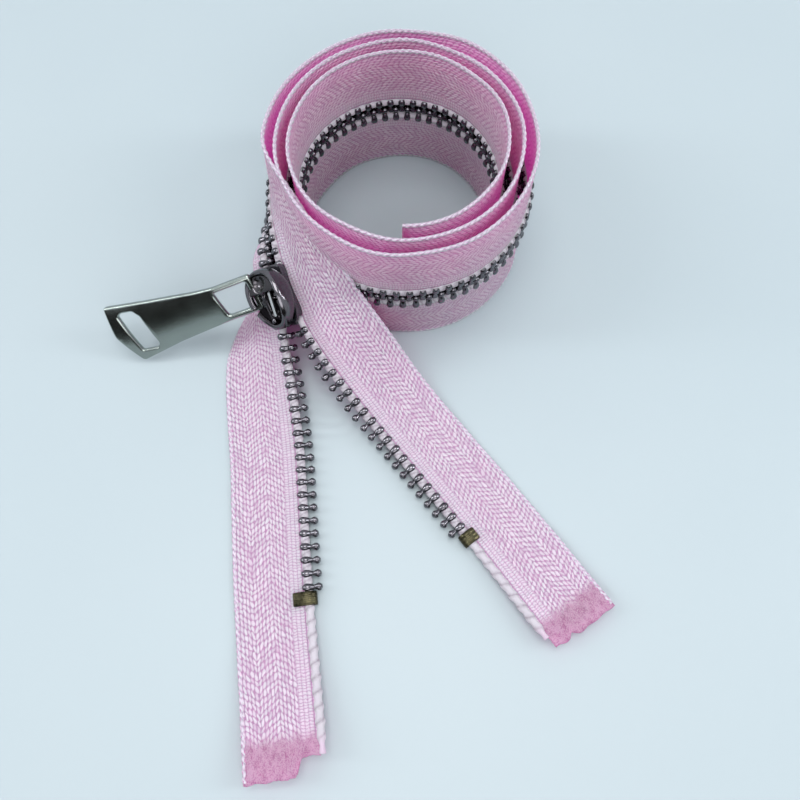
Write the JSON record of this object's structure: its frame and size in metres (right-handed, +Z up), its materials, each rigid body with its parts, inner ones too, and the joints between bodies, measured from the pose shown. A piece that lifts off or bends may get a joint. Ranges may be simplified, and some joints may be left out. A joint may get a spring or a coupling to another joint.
{
  "type": "zipper",
  "caption": "Metal-toothed zipper rolled up on its edge, with the slider pulled back from two open legs that lie flat.",
  "frame": {"origin": "centre of the whole zipper's box, on the surface that it stands on", "axes": "+Z up, -Y towards the open legs' cut ends, +X towards the right leg"},
  "size_m": [0.1001, 0.1397, 0.0331],
  "materials": {
    "tape": "woven polyester herringbone, light pink",
    "cord": "knitted white cord",
    "teeth": "gunmetal nickel plate, polished",
    "slider": "black nickel, mirror polished",
    "stops": "antique brass, satin",
    "spring": "spring steel"
  },
  "bodies": {
    "chain": {"bottom_stop": "stops", "left_closed_teeth": "teeth", "left_cord": "cord", "left_tape": "tape", "left_tooth_01": "teeth", "left_tooth_02": "teeth", "left_tooth_03": "teeth", "left_tooth_04": "teeth", "left_tooth_05": "teeth", "left_tooth_06": "teeth", "left_tooth_07": "teeth", "left_tooth_08": "teeth", "left_tooth_09": "teeth", "left_tooth_10": "teeth", "left_tooth_11": "teeth", "left_tooth_12": "teeth", "left_tooth_13": "teeth", "left_tooth_14": "teeth", "left_tooth_15": "teeth", "left_tooth_16": "teeth", "left_tooth_17": "teeth", "left_tooth_18": "teeth", "left_tooth_19": "teeth", "left_tooth_20": "teeth", "left_tooth_21": "teeth", "left_top_stop": "stops", "right_closed_teeth": "teeth", "right_cord": "cord", "right_tape": "tape", "right_tooth_01": "teeth", "right_tooth_02": "teeth", "right_tooth_03": "teeth", "right_tooth_04": "teeth", "right_tooth_05": "teeth", "right_tooth_06": "teeth", "right_tooth_07": "teeth", "right_tooth_08": "teeth", "right_tooth_09": "teeth", "right_tooth_10": "teeth", "right_tooth_11": "teeth", "right_tooth_12": "teeth", "right_tooth_13": "teeth", "right_tooth_14": "teeth", "right_tooth_15": "teeth", "right_tooth_16": "teeth", "right_tooth_17": "teeth", "right_tooth_18": "teeth", "right_tooth_19": "teeth", "right_tooth_20": "teeth", "right_tooth_21": "teeth", "right_top_stop": "stops"},
    "slider": {"slider_body": "slider", "slider_crown": "slider"},
    "lock": {"lock_spring": "spring"},
    "pull": {"pull_tab": "slider"}
  },
  "joints": [
    {"name": "slider_travel", "type": "slide", "parent": "chain", "child": "slider", "axis": [0.2892, -0.8494, -0.4415], "range_m": [-0.00125, 0.00125]},
    {"name": "pull_swing", "type": "hinge", "parent": "slider", "child": "pull", "pos_m": [-0.0194, 0.0199, 0.0149], "axis": [-0.3547, 0.5814, 0.7322], "range_deg": [0, 65]},
    {"name": "lock_lift", "type": "slide", "parent": "slider", "child": "lock", "axis": [-0.5688, -0.5234, 0.6345], "range_m": [0, 0.0006]}
  ],
  "couplings": [
    {"joint": "lock_lift", "follows": "pull_swing", "m_per_rad": 0.00044}
  ]
}
